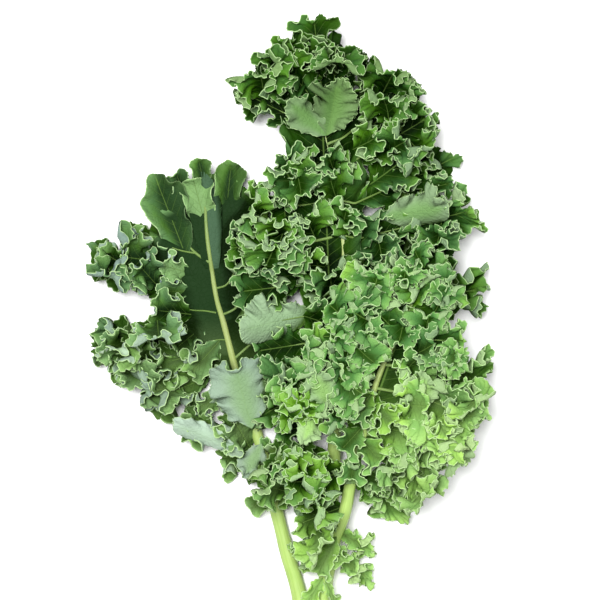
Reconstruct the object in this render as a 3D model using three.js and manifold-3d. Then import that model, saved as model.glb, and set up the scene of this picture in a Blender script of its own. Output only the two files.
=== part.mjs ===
// Bunch of curly kale lying down: three frilled leaves on their stalks, one laid over another.
import * as THREE from "three";
import Module from "manifold-3d";

// sizes in millimetres, x to the right, y toward the leaf tips, z up from the surface the bunch lies on
const bladeThickness = 1.0;
const trimHeight = 0.6;
const smallestStep = 0.08;
const rowPlaces = [0, 0.58, 1];
const fanSpread = 2.75;
const veinReach = 0.84;
const edgeWave = 18;
const edgeFoldDepth = 0.26;
const softness = 5;
const stalkSides = 7;
const stalkSteps = 22;

const colours = {
  left: "#4c7040",
  tall: "#588a52",
  front: "#64945a",
};

// midrib of each leaf from the cut end up: x, y, z and radius
const leftRib = [
  [1, 0, 4.0, 4.2],
  [-0.5, 17, 4.0, 4.1],
  [-7, 40, 4.2, 3.9],
  [-13, 64, 4.8, 3.6],
  [-22, 100, 5.5, 3.1],
  [-32, 129, 6.5, 2.6],
  [-40, 160, 7.5, 2.1],
  [-44, 174, 8, 1.8],
  [-47, 193, 8.5, 1.5],
  [-49, 209, 9, 1.3],
  [-50, 228, 10, 1.1],
];
const tallRib = [
  [11, 0, 3.9, 4.0],
  [13, 17, 3.9, 3.9],
  [15.5, 48, 5, 3.7],
  [17.5, 79, 9, 3.5],
  [18, 100, 12, 3.4],
  [17.5, 131, 15.5, 3.1],
  [19, 163, 18, 2.8],
  [23, 195, 19.5, 2.3],
  [19, 228, 19.5, 1.9],
  [12.5, 261, 19, 1.6],
  [8, 282, 18.5, 1.4],
  [8, 304, 18, 1.2],
];
const frontRib = [
  [8, 0, 12.2, 3.7],
  [12, 17, 12.2, 3.6],
  [16, 38, 13.2, 3.5],
  [18, 48, 14.4, 3.4],
  [23, 61, 17.4, 3.2],
  [26, 77, 21.4, 3.0],
  [28, 89, 25, 2.8],
  [34, 109, 30, 2.5],
  [37, 124, 33, 2.2],
  [43, 141, 35, 1.8],
  [51, 157, 36, 1.5],
  [57, 171, 36, 1.2],
];

// main blade: root x, y, z, tip x, y, z, half width, bend along, cup across, roll in degrees,
// lowest and highest z
const leftBlade = [-29, 120, 6.5, -51, 236, 10.5, 36, -0.1, 0.2, 0, 2, 13];
const tallBlade = [17.7, 120, 14.3, 10, 305, 18, 21, -0.2, 0.3, 0, 15, 26];
const frontBlade = [29, 92, 26.5, 62, 188, 37, 27, -0.1, 0.35, 0, 27.5, 46];

// lobes on the blade: root as parts of its length and half width, y of the side vein on the midrib,
// tip x, y, z, half width, bend, cup, roll, lowest and highest z
const leftLobes = [
  [0.66, -0.44, 193, -76, 238, 16, 13, 0.3, 0.8, 0, 2, 28],
  [0.765, 0.17, 206, -36, 246, 13, 9, 0.3, 0.6, 0, 2, 15],
  [0.6, -0.66, 196, -90, 209, 6, 10.5, 0.4, 1.0, 0, 0.4, 24],
  [0.52, -0.72, 178, -107, 200, 10, 12.5, 0.3, 1.0, 0, 0.4, 30],
  [0.34, -0.72, 158, -109, 147, 4, 13, 0.3, 1.1, 0, 0.4, 30],
  [0.24, -0.6, 146, -97, 135, 14, 14.5, 0.4, 1.2, 0, 0.4, 28],
  [0.14, -0.42, 134, -79, 119, 3, 13, 0.4, 1.1, 0, 0.4, 28],
  [0.42, -0.5, 160, -77, 168, 27, 12, 0.5, 1.0, 0, 6, 34],
];
const tallLobes = [
  [0.92, 0, 288, 7, 320, 26, 12, 0.5, 1.1, 0, 4, 36],
  [0.87, -0.15, 279, -9, 309, 24, 12, 0.4, 1.1, 0, 4, 36],
  [0.81, -0.23, 269, -22, 297, 6, 11.5, 0.3, 1.0, 0, 0.4, 34],
  [0.78, -0.32, 263, -30, 281, 22, 10, 0.4, 1.1, 0, 2, 34],
  [0.63, -0.5, 240, -6, 249.3, 28, 10, 0.5, 1.1, 0, 6, 38],
  [0.555, -0.67, 225, -25, 222, 25, 12.5, 0.5, 1.1, 0, 17, 38],
  [0.445, -0.75, 207, -38, 200, 28, 15, 0.5, 1.1, 0, 17, 40],
  [0.335, -0.68, 186, -34, 177, 24, 15, 0.5, 1.1, 0, 17, 38],
  [0.25, -0.3, 168, -31, 157, 34, 13, -0.3, 0.7, 155, 15, 42],
  [0.17, -0.5, 150, -25, 146, 20, 15, 0.4, 1.0, 0, 16.5, 26],
  [0.865, 0.15, 276, 32, 302, 24, 10.5, 0.4, 1.1, 0, 2, 34],
  [0.74, 0.5, 254, 60, 289, 6, 12, 0.4, 1.0, 0, 0.4, 34],
  [0.665, 0.62, 243, 69, 269, 26, 14, 0.4, 1.1, 0, 4, 38],
  [0.555, 0.73, 225, 79, 247, 3, 16, 0.4, 1.0, 0, 0.4, 34],
  [0.455, 0.73, 207, 91, 220, 24, 13.5, 0.4, 1.1, 0, 2, 38],
  [0.355, 0.73, 190, 77, 195, 1, 13, 0.4, 1.0, 0, 0.4, 30],
  [0.265, 0.67, 172, 98, 179, 16, 13.5, 0.4, 1.1, 0, 0.4, 26],
];
const frontLobes = [
  [0.8, 0, 160, 63, 190, 44, 14, 0.5, 1.0, 0, 28, 56],
  [0.62, -0.55, 146, 22, 167, 48, 15, 0.5, 1.1, 0, 28, 58],
  [0.44, -0.6, 132, 1, 149, 42, 15, 0.4, 1.1, 0, 28, 58],
  [0.28, -0.55, 116, -14, 125, 40, 15, 0.4, 1.1, 0, 28, 54],
  [0.68, 0.49, 152, 83, 152, 42, 11.5, 0.4, 1.1, 0, 28, 58],
  [0.54, 0.66, 140, 97, 130, 26, 15, 0.3, 1.1, 0, 1, 48],
  [0.4, 0.7, 128, 92, 112, 38, 15, 0.4, 1.1, 0, 4, 52],
  [0.27, 0.6, 114, 80, 94, 4, 14.5, 0.3, 1.0, 0, 0.4, 46],
  [0.15, 0.37, 104, 70, 74, 28, 14, 0.4, 1.1, 0, 2, 46],
];

// lobes on the stalk or midrib: y of the root, then as above from the tip on
const leftStalkLobes = [
  [101, -62, 108, 14, 9, 0.4, 1.1, 0, 0.4, 28],
  [93, -43, 89, 4, 10, 0.4, 1.1, 0, 0.4, 24],
  [71, -27, 62, 8, 7, 0.3, 0.8, 0, 0.4, 14],
  [180, -52, 240, 16, 9, -0.3, 0.5, 180, 11, 22],
  [104, -36, 138, 17, 16, -0.4, 0.5, 180, 8, 24],
];
const tallStalkLobes = [
  [132, -20, 113, 20, 13, 0.4, 1.0, 0, 14, 26],
  [92, -22, 80, 16, 15, 0.4, 1.0, 0, 6, 23],
];
const frontStalkLobes = [
  [116, 2, 122, 42, 9, 0.4, 1.1, 0, 27.5, 52],
  [86, -5, 76, 32, 14, 0.4, 1.1, 0, 24.5, 46],
  [66, -2, 56, 22, 12, 0.4, 1.0, 0, 12, 34],
  [84, 57, 61, 2, 12, 0.3, 1.0, 0, 0.4, 38],
  [52, 38, 41, 10, 6, 0.3, 1.0, 0, 1, 24],
  [42, 37, 25, 8, 7, 0.3, 1.0, 0, 1, 24],
  [52, -2, 38, 17, 7.5, 0.4, 1.0, 0, 10, 26],
];

const wasm = await Module();
wasm.setup();

function clamp01(value) {
  return Math.min(1, Math.max(0, value));
}

function smooth(value, low, high) {
  const t = clamp01((value - low) / (high - low));
  return t * t * (3 - 2 * t);
}

function draw(index, seed) {
  const x = Math.sin(index * 127.1 + seed * 74.7) * 43758.5453;
  return x - Math.floor(x);
}

function softMax(value, floor) {
  return 0.5 * (value + floor + Math.hypot(value - floor, softness * 0.5));
}

function softMin(value, ceiling) {
  return 0.5 * (value + ceiling - Math.hypot(value - ceiling, softness * 0.5));
}

function sinc(x) {
  return Math.abs(x) < 1e-4 ? 1 : Math.sin(x) / x;
}

function cosc(x) {
  return Math.abs(x) < 1e-4 ? x / 2 : (1 - Math.cos(x)) / x;
}

// closed solid from vertices and triangles
function solidOf(points, triangles) {
  const vertProperties = new Float32Array(points.length * 3);
  points.forEach((p, i) => vertProperties.set([p.x, p.y, p.z], i * 3));
  const triVerts = new Uint32Array(triangles.flat());
  return new wasm.Manifold(new wasm.Mesh({ numProp: 3, vertProperties, triVerts }));
}

function curveOf(rib) {
  return new THREE.CatmullRomCurve3(rib.map((p) => new THREE.Vector3(p[0], p[1], p[2])));
}

function ribAt(rib, y) {
  const curve = curveOf(rib);
  let low = 0;
  let high = 1;
  for (let i = 0; i < 30; i += 1) {
    const middle = (low + high) / 2;
    if (curve.getPoint(middle).y < y) {
      low = middle;
    } else {
      high = middle;
    }
  }
  return curve.getPoint(low);
}

// tube with flat ends along a list of centres, each with its own radius
function tube(centres, radii, sides) {
  const last = centres.length - 1;
  const points = [];
  const triangles = [];
  centres.forEach((centre, i) => {
    const along = centres[Math.min(i + 1, last)].clone().sub(centres[Math.max(i - 1, 0)]).normalize();
    const across = new THREE.Vector3(along.y, -along.x, 0).normalize();
    const above = new THREE.Vector3().crossVectors(across, along).normalize();
    for (let k = 0; k < sides; k += 1) {
      const angle = ((k + 0.5) / sides) * 2 * Math.PI - Math.PI / 2;
      points.push(centre.clone()
        .addScaledVector(across, radii[i] * Math.cos(angle))
        .addScaledVector(above, radii[i] * Math.sin(angle)));
    }
  });
  const ring = (i, k) => i * sides + (k % sides);
  for (let i = 0; i < last; i += 1) {
    for (let k = 0; k < sides; k += 1) {
      triangles.push([ring(i, k), ring(i + 1, k + 1), ring(i, k + 1)]);
      triangles.push([ring(i, k), ring(i + 1, k), ring(i + 1, k + 1)]);
    }
  }
  for (let k = 1; k < sides - 1; k += 1) {
    triangles.push([ring(0, 0), ring(0, k), ring(0, k + 1)]);
    triangles.push([ring(last, 0), ring(last, k + 1), ring(last, k)]);
  }
  return solidOf(points, triangles);
}

// round stalk that narrows into the midrib
function stalk(rib) {
  const curve = curveOf(rib);
  const centres = [];
  const radii = [];
  for (let i = 0; i <= stalkSteps; i += 1) {
    const place = (i / stalkSteps) * (rib.length - 1);
    const before = Math.min(Math.floor(place), rib.length - 2);
    centres.push(curve.getPoint(i / stalkSteps));
    radii.push(rib[before][3] + (rib[before + 1][3] - rib[before][3]) * (place - before));
  }
  return tube(centres, radii, stalkSides);
}

// smooth fan that a lobe or blade follows before its edge is waved
function fanOf(root, row) {
  const [tipX, tipY, tipZ, width, bend, cup, roll, low, high] = row;
  const chord = new THREE.Vector3(tipX, tipY, tipZ).sub(root);
  const length = chord.length() / sinc(bend / 2);
  const ahead = chord.clone().normalize();
  const up = new THREE.Vector3(0, 0, 1).addScaledVector(ahead, -ahead.z).normalize();
  up.applyAxisAngle(ahead, THREE.MathUtils.degToRad(roll));
  const side = new THREE.Vector3().crossVectors(ahead, up);
  const d = ahead.clone().multiplyScalar(Math.cos(bend / 2)).addScaledVector(up, -Math.sin(bend / 2));
  const n = up.clone().multiplyScalar(Math.cos(bend / 2)).addScaledVector(ahead, Math.sin(bend / 2));
  const at = (a, b) => {
    const alpha = (bend * a) / length;
    const beta = (cup * smooth(a, 0, 0.35 * length) * b) / width;
    const lift = b * cosc(beta);
    const point = root.clone()
      .addScaledVector(d, a * sinc(alpha) - lift * Math.sin(alpha))
      .addScaledVector(n, a * cosc(alpha) + lift * Math.cos(alpha))
      .addScaledVector(side, b * sinc(beta));
    const normal = n.clone().multiplyScalar(Math.cos(alpha) * Math.cos(beta))
      .addScaledVector(d, -Math.sin(alpha) * Math.cos(beta))
      .addScaledVector(side, -Math.sin(beta));
    const held = softMin(softMax(point.z, low + bladeThickness / 2), high - bladeThickness / 2);
    point.z += (held - point.z) * smooth(a, 0.05 * length, 0.3 * length);
    return [point, normal];
  };
  return { root, length, width, low, high, at };
}

// one frilled lobe: a fan from its vein out to a waved edge
function lobe(fan, seed) {
  const { length, width, low, high, at } = fan;
  const turn = draw(3, seed) * 6.28;
  const edgeLength = 1.9 * (length + width);
  const waves = Math.max(4, Math.round(edgeLength / (edgeWave + 0.1 * length)));
  const columns = waves * 2;
  const depth = (edgeLength / waves) * edgeFoldDepth;
  const points = [];
  const normals = [];
  const index = [];
  rowPlaces.forEach((v, i) => {
    index.push([]);
    for (let j = 0; j <= columns; j += 1) {
      if (i === 0 && j > columns / 2) {
        index[0].push(index[0][columns - j]);
        continue;
      }
      const theta = fanSpread * ((2 * j) / columns - 1);
      const k = Math.abs(theta) / fanSpread;
      const rho = 1 + 0.12 * Math.cos(5 * theta + turn) * (1 - k ** 4);
      const edgeA = length * (0.4 + (0.06 + 0.47 * (1 + Math.cos(theta)) - 0.4) * rho);
      const edgeB = width * Math.sin(theta) * (0.9 + 0.35 * Math.cos(theta)) * rho;
      const veinA = length * veinReach * (1 - k ** 1.25);
      const [p, normal] = at(veinA + (edgeA - veinA) * v, edgeB * v);
      const reach = Math.hypot(edgeA - veinA, edgeB);
      const ends = smooth(fanSpread - Math.abs(theta), 0.15, 1.2);
      const height = Math.min((0.7 + 0.5 * draw(j + 11, seed)) * depth, 0.45 * reach);
      const fold = smooth(v, 0.2, 1) * ends * height;
      p.addScaledVector(normal, j % 2 === 0 ? fold : -fold);
      if (p.distanceTo(fan.root) > 0.15 * length) {
        p.z = Math.min(Math.max(p.z, low + bladeThickness / 2), high - bladeThickness / 2);
      }
      index[i].push(points.length);
      points.push(p);
      normals.push(normal);
    }
  });
  const count = points.length;
  const top = points.map((p, i) => p.clone().addScaledVector(normals[i], bladeThickness / 2));
  const bottom = points.map((p, i) => p.clone().addScaledVector(normals[i], -bladeThickness / 2));
  const triangles = [];
  const face = (a, b, c) => {
    if (a === b || b === c || a === c) {
      return;
    }
    triangles.push([a, c, b]);
    triangles.push([a + count, b + count, c + count]);
  };
  const rows = rowPlaces.length - 1;
  for (let i = 0; i < rows; i += 1) {
    for (let j = 0; j < columns; j += 1) {
      const a = index[i][j];
      const b = index[i + 1][j];
      const c = index[i + 1][j + 1];
      const e = index[i][j + 1];
      const slant = j === 0 ? 1 : j === columns - 1 ? 0 : j % 2;
      if (slant === 0) {
        face(a, b, c);
        face(a, c, e);
      } else {
        face(a, b, e);
        face(b, c, e);
      }
    }
  }
  const rim = [];
  for (let i = 0; i < rows; i += 1) {
    rim.push(index[i][0]);
  }
  for (let j = 0; j < columns; j += 1) {
    rim.push(index[rows][j]);
  }
  for (let i = rows; i > 0; i -= 1) {
    rim.push(index[i][columns]);
  }
  rim.forEach((p, i) => {
    const q = rim[(i + 1) % rim.length];
    triangles.push([p, q + count, p + count]);
    triangles.push([p, q, q + count]);
  });
  return solidOf([...top, ...bottom], triangles);
}

// side vein from the midrib through the blade and into the lobe that grows there
function vein(start, fan) {
  const centres = [start, fan.root, fan.at(0.2 * fan.length, 0)[0], fan.at(0.45 * fan.length, 0)[0]];
  return tube(centres, [1.3, 1.2, 1.0, 0.7], 3);
}

function meshOf(solid, name, colour) {
  const data = solid.getMesh();
  const geometry = new THREE.BufferGeometry();
  geometry.setAttribute("position", new THREE.BufferAttribute(new Float32Array(data.vertProperties), 3));
  geometry.setIndex(new THREE.BufferAttribute(new Uint32Array(data.triVerts), 1));
  const material = new THREE.MeshStandardMaterial({ color: colour, roughness: 0.6, metalness: 0 });
  const mesh = new THREE.Mesh(geometry, material);
  mesh.name = name;
  return mesh;
}

function leaf(rib, bladeRow, lobeRows, stalkLobeRows, firstSeed) {
  const blade = fanOf(new THREE.Vector3(bladeRow[0], bladeRow[1], bladeRow[2]), bladeRow.slice(3));
  const parts = [stalk(rib), lobe(blade, firstSeed)];
  lobeRows.forEach((row, i) => {
    const root = blade.at(row[0] * blade.length, row[1] * blade.width)[0];
    const fan = fanOf(root, row.slice(3));
    parts.push(lobe(fan, firstSeed + 1 + i), vein(ribAt(rib, row[2]), fan));
  });
  stalkLobeRows.forEach((row, i) => {
    const fan = fanOf(ribAt(rib, row[0]), row.slice(1));
    parts.push(lobe(fan, firstSeed + 21 + i));
  });
  const grown = wasm.Manifold.union(parts).trimByPlane([0, 0, 1], trimHeight);
  const whole = grown.asOriginal().simplify(smallestStep);
  return whole.decompose().sort((a, b) => b.volume() - a.volume())[0];
}

// leaves set so that the origin is the centre of the bunch on the surface
const leaves = [
  ["leaf_left", leaf(leftRib, leftBlade, leftLobes, leftStalkLobes, 1), colours.left],
  ["leaf_tall", leaf(tallRib, tallBlade, tallLobes, tallStalkLobes, 41), colours.tall],
  ["leaf_front", leaf(frontRib, frontBlade, frontLobes, frontStalkLobes, 81), colours.front],
];
const boxes = leaves.map((entry) => entry[1].boundingBox());
const middle = [0, 1].map((axis) => {
  const low = Math.min(...boxes.map((box) => box.min[axis]));
  const high = Math.max(...boxes.map((box) => box.max[axis]));
  return (low + high) / 2;
});

const group = new THREE.Group();
group.name = "curly_kale_bunch";
leaves.forEach(([name, solid, colour]) => {
  group.add(meshOf(solid.translate([-middle[0], -middle[1], -trimHeight]), name, colour));
});

export default group;
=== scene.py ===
import math
import random

import bpy
import numpy as np
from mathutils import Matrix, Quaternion, Vector
from mathutils.bvhtree import BVHTree


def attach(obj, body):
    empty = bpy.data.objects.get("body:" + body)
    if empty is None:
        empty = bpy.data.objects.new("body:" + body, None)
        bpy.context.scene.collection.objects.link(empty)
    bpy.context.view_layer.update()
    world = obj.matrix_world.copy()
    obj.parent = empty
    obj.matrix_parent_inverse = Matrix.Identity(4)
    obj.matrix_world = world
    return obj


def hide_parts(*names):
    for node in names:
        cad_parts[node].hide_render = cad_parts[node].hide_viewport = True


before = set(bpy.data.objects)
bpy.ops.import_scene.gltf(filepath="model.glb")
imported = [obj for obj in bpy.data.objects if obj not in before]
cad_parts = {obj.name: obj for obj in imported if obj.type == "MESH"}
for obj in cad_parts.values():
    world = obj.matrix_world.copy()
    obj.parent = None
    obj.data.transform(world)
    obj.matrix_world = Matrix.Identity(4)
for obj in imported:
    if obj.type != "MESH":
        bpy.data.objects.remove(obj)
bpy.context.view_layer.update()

mm = 0.001
upward = Vector((0, 0, 1))

# sizes in millimetres as the leaves were measured: x to the right, y toward the tips, z up
bench = {"middle": (-5.7618, 159.3138), "trim": 0.6, "floor": 0.95, "ceiling": 50.2, "crest": 38.0}

# rib: x, y, z, radius. blade: root, tip, half width, bend, cup, roll, lowest and highest z.
# lobes: root as parts of the blade's length and half width, y of the side vein, tip, then as above.
# stalkLobes: y of the root on the midrib, tip, then as above.
leaves = {
    "Left": {
        "node": "leaf_left", "seed": 1,
        "rib": [(1, 0, 4.0, 4.2), (-0.5, 17, 4.0, 4.1), (-7, 40, 4.2, 3.9), (-13, 64, 4.8, 3.6),
                (-22, 100, 5.5, 3.1), (-32, 129, 6.5, 2.6), (-40, 160, 7.5, 2.1), (-44, 174, 8, 1.8),
                (-47, 193, 8.5, 1.5), (-49, 209, 9, 1.3), (-50, 228, 10, 1.1)],
        "blade": (-29, 120, 6.5, -51, 236, 10.5, 36, -0.1, 0.2, 0, 2, 13),
        "lobes": [
            (0.66, -0.44, 193, -76, 238, 16, 13, 0.3, 0.8, 0, 2, 28),
            (0.765, 0.17, 206, -36, 246, 13, 9, 0.3, 0.6, 0, 2, 15),
            (0.6, -0.66, 196, -90, 209, 6, 10.5, 0.4, 1.0, 0, 0.4, 24),
            (0.52, -0.72, 178, -107, 200, 10, 12.5, 0.3, 1.0, 0, 0.4, 30),
            (0.34, -0.72, 158, -109, 147, 4, 13, 0.3, 1.1, 0, 0.4, 30),
            (0.24, -0.6, 146, -97, 135, 14, 14.5, 0.4, 1.2, 0, 0.4, 28),
            (0.14, -0.42, 134, -79, 119, 3, 13, 0.4, 1.1, 0, 0.4, 28),
            (0.42, -0.5, 160, -77, 168, 27, 12, 0.5, 1.0, 0, 6, 34)],
        "stalkLobes": [
            (101, -62, 108, 14, 9, 0.4, 1.1, 0, 0.4, 28), (93, -43, 89, 4, 10, 0.4, 1.1, 0, 0.4, 24),
            (71, -27, 62, 8, 7, 0.3, 0.8, 0, 0.4, 14), (180, -52, 240, 16, 9, -0.3, 0.5, 180, 11, 22),
            (104, -36, 138, 17, 16, -0.4, 0.5, 180, 8, 24)],
    },
    "Tall": {
        "node": "leaf_tall", "seed": 41,
        "rib": [(11, 0, 3.9, 4.0), (13, 17, 3.9, 3.9), (15.5, 48, 5, 3.7), (17.5, 79, 9, 3.5),
                (18, 100, 12, 3.4), (17.5, 131, 15.5, 3.1), (19, 163, 18, 2.8), (23, 195, 19.5, 2.3),
                (19, 228, 19.5, 1.9), (12.5, 261, 19, 1.6), (8, 282, 18.5, 1.4), (8, 304, 18, 1.2)],
        "blade": (17.7, 120, 14.3, 10, 305, 18, 21, -0.2, 0.3, 0, 15, 26),
        "lobes": [
            (0.92, 0, 288, 7, 320, 26, 12, 0.5, 1.1, 0, 4, 36),
            (0.87, -0.15, 279, -9, 309, 24, 12, 0.4, 1.1, 0, 4, 36),
            (0.81, -0.23, 269, -22, 297, 6, 11.5, 0.3, 1.0, 0, 0.4, 34),
            (0.78, -0.32, 263, -30, 281, 22, 10, 0.4, 1.1, 0, 2, 34),
            (0.63, -0.5, 240, -6, 249.3, 28, 10, 0.5, 1.1, 0, 6, 38),
            (0.555, -0.67, 225, -25, 222, 25, 12.5, 0.5, 1.1, 0, 17, 38),
            (0.445, -0.75, 207, -38, 200, 28, 15, 0.5, 1.1, 0, 17, 40),
            (0.335, -0.68, 186, -34, 177, 24, 15, 0.5, 1.1, 0, 17, 38),
            (0.25, -0.3, 168, -31, 157, 34, 13, -0.3, 0.7, 155, 15, 42),
            (0.17, -0.5, 150, -25, 146, 20, 15, 0.4, 1.0, 0, 16.5, 26),
            (0.865, 0.15, 276, 32, 302, 24, 10.5, 0.4, 1.1, 0, 2, 34),
            (0.74, 0.5, 254, 60, 289, 6, 12, 0.4, 1.0, 0, 0.4, 34),
            (0.665, 0.62, 243, 69, 269, 26, 14, 0.4, 1.1, 0, 4, 38),
            (0.555, 0.73, 225, 79, 247, 3, 16, 0.4, 1.0, 0, 0.4, 34),
            (0.455, 0.73, 207, 91, 220, 24, 13.5, 0.4, 1.1, 0, 2, 38),
            (0.355, 0.73, 190, 77, 195, 1, 13, 0.4, 1.0, 0, 0.4, 30),
            (0.265, 0.67, 172, 98, 179, 16, 13.5, 0.4, 1.1, 0, 0.4, 26)],
        "stalkLobes": [
            (132, -20, 113, 20, 13, 0.4, 1.0, 0, 14, 26), (92, -22, 80, 16, 15, 0.4, 1.0, 0, 6, 23)],
    },
    "Front": {
        "node": "leaf_front", "seed": 81,
        "rib": [(8, 0, 12.2, 3.7), (12, 17, 12.2, 3.6), (16, 38, 13.2, 3.5), (18, 48, 14.4, 3.4),
                (23, 61, 17.4, 3.2), (26, 77, 21.4, 3.0), (28, 89, 25, 2.8), (34, 109, 30, 2.5),
                (37, 124, 33, 2.2), (43, 141, 35, 1.8), (51, 157, 36, 1.5), (57, 171, 36, 1.2)],
        "blade": (29, 92, 26.5, 62, 188, 37, 27, -0.1, 0.35, 0, 27.5, 46),
        "lobes": [
            (0.8, 0, 160, 63, 190, 44, 14, 0.5, 1.0, 0, 28, 56),
            (0.62, -0.55, 146, 22, 167, 48, 15, 0.5, 1.1, 0, 28, 58),
            (0.44, -0.6, 132, 1, 149, 42, 15, 0.4, 1.1, 0, 28, 58),
            (0.28, -0.55, 116, -14, 125, 40, 15, 0.4, 1.1, 0, 28, 54),
            (0.68, 0.49, 152, 83, 152, 42, 11.5, 0.4, 1.1, 0, 28, 58),
            (0.54, 0.66, 140, 97, 130, 26, 15, 0.3, 1.1, 0, 1, 48),
            (0.4, 0.7, 128, 92, 112, 38, 15, 0.4, 1.1, 0, 4, 52),
            (0.27, 0.6, 114, 80, 94, 4, 14.5, 0.3, 1.0, 0, 0.4, 46),
            (0.15, 0.37, 104, 70, 74, 28, 14, 0.4, 1.1, 0, 2, 46)],
        "stalkLobes": [
            (116, 2, 122, 42, 9, 0.4, 1.1, 0, 27.5, 52), (86, -5, 76, 32, 14, 0.4, 1.1, 0, 24.5, 46),
            (66, -2, 56, 22, 12, 0.4, 1.0, 0, 12, 34), (84, 57, 61, 2, 12, 0.3, 1.0, 0, 0.4, 38),
            (52, 38, 41, 10, 6, 0.3, 1.0, 0, 1, 24), (42, 37, 25, 8, 7, 0.3, 1.0, 0, 1, 24),
            (52, -2, 38, 17, 7.5, 0.4, 1.0, 0, 10, 26)],
    },
}

fanShape = {"spread": 2.75, "edgeLength": 1.9, "veinReach": 0.84, "edgeWave": 18, "foldDepth": 0.26,
            "softness": 2.5}


def operator(name, swapped=False):
    def act(wire, *others):
        return wire.board.sum(name, *((*others, wire) if swapped else (wire, *others)))
    return act


class Wire:
    # one socket of a node tree, so that a sum on it reads as Python

    def __init__(self, board, socket):
        self.board = board
        self.socket = socket
        self.wide = socket.type in ("VECTOR", "RGBA")

    __add__ = __radd__ = operator("ADD")
    __sub__ = operator("SUBTRACT")
    __rsub__ = operator("SUBTRACT", swapped=True)
    __mul__ = __rmul__ = operator("MULTIPLY")
    __truediv__ = operator("DIVIDE")
    __rtruediv__ = operator("DIVIDE", swapped=True)
    __pow__ = operator("POWER")
    __abs__ = operator("ABSOLUTE")

    def __neg__(self):
        return self * -1.0


class Board:
    # a node tree and the one way to add a node to it

    def __init__(self, tree):
        self.tree = tree

    def add(self, kind, settings=None, sockets=None, out=0):
        node = self.tree.nodes.new(kind)
        for key, value in (settings or {}).items():
            setattr(node, key, value)
        for key, value in (sockets or {}).items():
            live = [s for s in node.inputs if s.enabled]
            target = live[key] if isinstance(key, int) else next(s for s in live if s.name == key)
            for item in value if isinstance(value, list) else [value]:
                if isinstance(item, Wire):
                    self.tree.links.new(item.socket, target)
                else:
                    target.default_value = item
        live = [s for s in node.outputs if s.enabled]
        return Wire(self, live[out] if isinstance(out, int) else next(s for s in live if s.name == out))

    def sum(self, operation, *values):
        wide = [isinstance(v, tuple) or (isinstance(v, Wire) and v.wide) for v in values]
        if not any(wide):
            return self.add("ShaderNodeMath", {"operation": operation}, dict(enumerate(values)))
        if operation == "MULTIPLY" and not all(wide):
            vector, scale = values if wide[0] else values[::-1]
            sockets = {"Vector": vector, "Scale": scale}
            return self.add("ShaderNodeVectorMath", {"operation": "SCALE"}, sockets)
        return self.add("ShaderNodeVectorMath", {"operation": operation}, dict(enumerate(values)))

    def smooth(self, value, low, high, toLow=0.0, toHigh=1.0):
        sockets = {"Value": value, "From Min": low, "From Max": high, "To Min": toLow, "To Max": toHigh}
        return self.add("ShaderNodeMapRange", {"interpolation_type": "SMOOTHSTEP"}, sockets)

    def split(self, vector):
        return [self.add("ShaderNodeSeparateXYZ", None, {0: vector}, k) for k in range(3)]

    def join(self, x, y, z):
        return self.add("ShaderNodeCombineXYZ", None, {0: x, 1: y, 2: z})

    def entry(self, name, value=None):
        # input of the tree: geometry where no value is given, else a whole or a decimal number
        kind = {int: "Int", float: "Float"}.get(type(value), "Geometry")
        socket = self.tree.interface.new_socket(name, in_out="INPUT", socket_type="NodeSocket" + kind)
        if value is not None:
            socket.default_value = value
        return self.add("NodeGroupInput", None, None, name)

    def read(self, name, kind="FLOAT"):
        return self.add("GeometryNodeInputNamedAttribute", {"data_type": kind}, {"Name": name}, "Attribute")

    def keep(self, geometry, name, value):
        sockets = {"Geometry": geometry, "Name": name, "Value": value}
        return self.add("GeometryNodeStoreNamedAttribute", {"data_type": "FLOAT", "domain": "POINT"}, sockets)

    def put(self, geometry, **sockets):
        return self.add("GeometryNodeSetPosition", None, {"Geometry": geometry, **sockets})

    def finish(self, geometry, position, material):
        # from the measured millimetres to the frame's metres, then the end of the tree
        geometry = self.put(geometry, Position=(position - (*bench["middle"], bench["trim"])) * mm)
        geometry = self.add("GeometryNodeSetShadeSmooth", None, {"Geometry": geometry})
        geometry = self.add("GeometryNodeRealizeInstances", None, {"Geometry": geometry})
        geometry = self.add("GeometryNodeSetMaterial", None, {"Geometry": geometry, "Material": material})
        self.tree.interface.new_socket("Geometry", in_out="OUTPUT", socket_type="NodeSocketGeometry")
        self.tree.links.new(geometry.socket, self.tree.nodes.new("NodeGroupOutput").inputs[0])
        return self.tree


def smoothStep(value, low, high):
    t = min(1.0, max(0.0, (value - low) / (high - low)))
    return t * t * (3 - 2 * t)


def softMax(value, limit):
    return 0.5 * (value + limit + math.hypot(value - limit, fanShape["softness"]))


def softMin(value, limit):
    return 0.5 * (value + limit - math.hypot(value - limit, fanShape["softness"]))


def draw(index, seed):
    x = math.sin(index * 127.1 + seed * 74.7) * 43758.5453
    return x - math.floor(x)


def ribAt(rib, y):
    # point of the midrib's curve at that y
    points = [Vector(p[:3]) for p in rib]
    points = [2 * points[0] - points[1]] + points + [2 * points[-1] - points[-2]]
    low, high = 0.0, len(rib) - 1.0
    for step in range(30):
        middle = (low + high) / 2
        i = min(int(middle), len(rib) - 2)
        w = middle - i
        a, b, c, d = points[i:i + 4]
        square, cube = 2 * a - 5 * b + 4 * c - d, 3 * b - a - 3 * c + d
        at = 0.5 * (2 * b + (c - a) * w + square * w ** 2 + cube * w ** 3)
        if at.y < y:
            low = middle
        else:
            high = middle
    return at


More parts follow.
